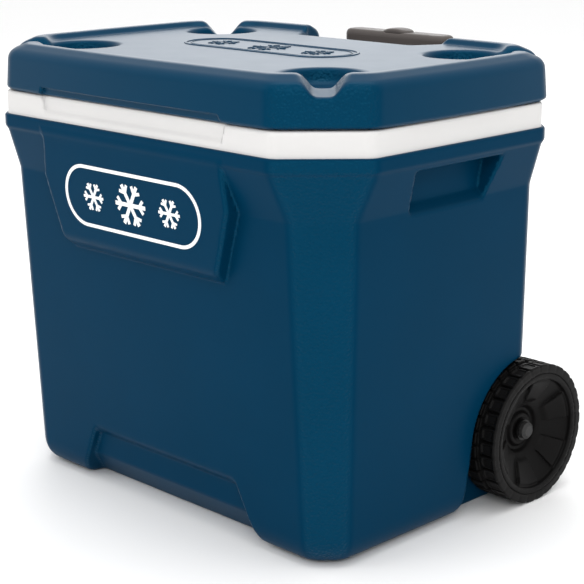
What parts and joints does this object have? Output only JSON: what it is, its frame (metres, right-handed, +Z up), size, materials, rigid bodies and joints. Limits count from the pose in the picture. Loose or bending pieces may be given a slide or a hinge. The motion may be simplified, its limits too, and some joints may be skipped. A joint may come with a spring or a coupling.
{
  "type": "wheeled cooler",
  "caption": "Wheeled ice cooler with a hinged lid, cup holders, a telescoping tow handle, two lugged wheels and a screw-cap drain.",
  "frame": {"origin": "on the ground, under the middle of the lid's outline", "axes": "+Z up, -Y towards the front with the label, +Y towards the tow handle, +X along the length"},
  "size_m": [0.533, 0.4122, 0.471],
  "materials": {
    "blue_shell": "pebble-grained polyethylene, dark petrol blue",
    "white_liner": "satin white polypropylene",
    "foam": "rigid polyurethane foam",
    "label_print": "satin white print",
    "black_plastic": "moulded black plastic",
    "wheel_plastic": "satin black plastic",
    "tyre_rubber": "dull black tread",
    "drain_rubber": "soft black rubber",
    "grip_grey": "warm grey moulded plastic",
    "steel": "zinc-plated steel",
    "tube_aluminium": "drawn aluminium tube"
  },
  "bodies": {
    "cooler_body": {"outer_shell": "blue_shell", "inner_liner": "white_liner", "body_insulation": "foam", "front_label": "label_print", "hinge_leaves_body": "black_plastic", "hinge_pins": "steel", "hinge_screws_body": "steel", "axle_sleeve": "black_plastic", "axle": "steel", "axle_washers": "steel", "axle_caps": "black_plastic", "upper_bracket": "black_plastic", "lower_bracket": "black_plastic", "bracket_screws": "steel", "fixed_tube_left": "tube_aluminium", "fixed_tube_right": "tube_aluminium", "drain_spout": "black_plastic", "drain_washer": "drain_rubber", "drain_nut": "black_plastic"},
    "lid": {"lid_shell": "blue_shell", "lid_liner": "white_liner", "lid_insulation": "foam", "hinge_leaves_lid": "black_plastic", "hinge_screws_lid": "steel"},
    "wheel_left": {"wheel_rim_left": "wheel_plastic", "tyre_left": "tyre_rubber"},
    "wheel_right": {"wheel_rim_right": "wheel_plastic", "tyre_right": "tyre_rubber"},
    "handle_middle": {"middle_tube_left": "tube_aluminium", "middle_tube_right": "tube_aluminium", "middle_collars": "black_plastic"},
    "handle_top": {"inner_tube_left": "tube_aluminium", "inner_tube_right": "tube_aluminium", "inner_plugs": "black_plastic", "grip_upper": "grip_grey", "grip_lower": "grip_grey", "grip_screws": "steel", "button_spring": "steel"},
    "button": {"release_button": "grip_grey", "release_yoke": "black_plastic"},
    "pin_left": {"lock_pin_left": "steel"},
    "pin_right": {"lock_pin_right": "steel"},
    "drain_ring": {"drain_cap_ring": "black_plastic"},
    "drain_plug": {"drain_cap": "black_plastic"}
  },
  "joints": [
    {"name": "lid_hinge", "type": "hinge", "parent": "cooler_body", "child": "lid", "pos_m": [0, 0.192, 0.421], "axis": [1, 0, 0], "range_deg": [-100, 0]},
    {"name": "wheel_left_spin", "type": "hinge", "parent": "cooler_body", "child": "wheel_left", "pos_m": [-0.236, 0.1394, 0.0741], "axis": [1, 0, 0], "continuous": true},
    {"name": "wheel_right_spin", "type": "hinge", "parent": "cooler_body", "child": "wheel_right", "pos_m": [0.236, 0.1394, 0.0741], "axis": [1, 0, 0], "continuous": true},
    {"name": "handle_middle_slide", "type": "slide", "parent": "cooler_body", "child": "handle_middle", "axis": [0, 0, 1], "range_m": [0, 0.26]},
    {"name": "handle_top_slide", "type": "slide", "parent": "handle_middle", "child": "handle_top", "axis": [0, 0, 1], "range_m": [0, 0.26]},
    {"name": "button_press", "type": "slide", "parent": "handle_top", "child": "button", "axis": [0, 0, -1], "range_m": [0, 0.004], "stiffness_N_per_m": 700, "springref_m": -0.003, "deforming": ["button_spring"]},
    {"name": "pin_left_draw", "type": "slide", "parent": "handle_top", "child": "pin_left", "axis": [1, 0, 0], "range_m": [0, 0.0015]},
    {"name": "pin_right_draw", "type": "slide", "parent": "handle_top", "child": "pin_right", "axis": [-1, 0, 0], "range_m": [0, 0.0015]},
    {"name": "drain_ring_slide", "type": "slide", "parent": "cooler_body", "child": "drain_ring", "axis": [-1, 0, 0], "range_m": [0, 0.008]},
    {"name": "drain_cap_turn", "type": "hinge", "parent": "drain_ring", "child": "drain_plug", "pos_m": [-0.25, -0.06, 0.048], "axis": [-1, 0, 0], "range_deg": [0, 720]}
  ],
  "couplings": [
    {"joint": "pin_left_draw", "follows": "button_press", "ratio": 0.375},
    {"joint": "pin_right_draw", "follows": "button_press", "ratio": 0.375},
    {"joint": "drain_ring_slide", "follows": "drain_cap_turn", "m_per_rad": 0.00063662}
  ]
}
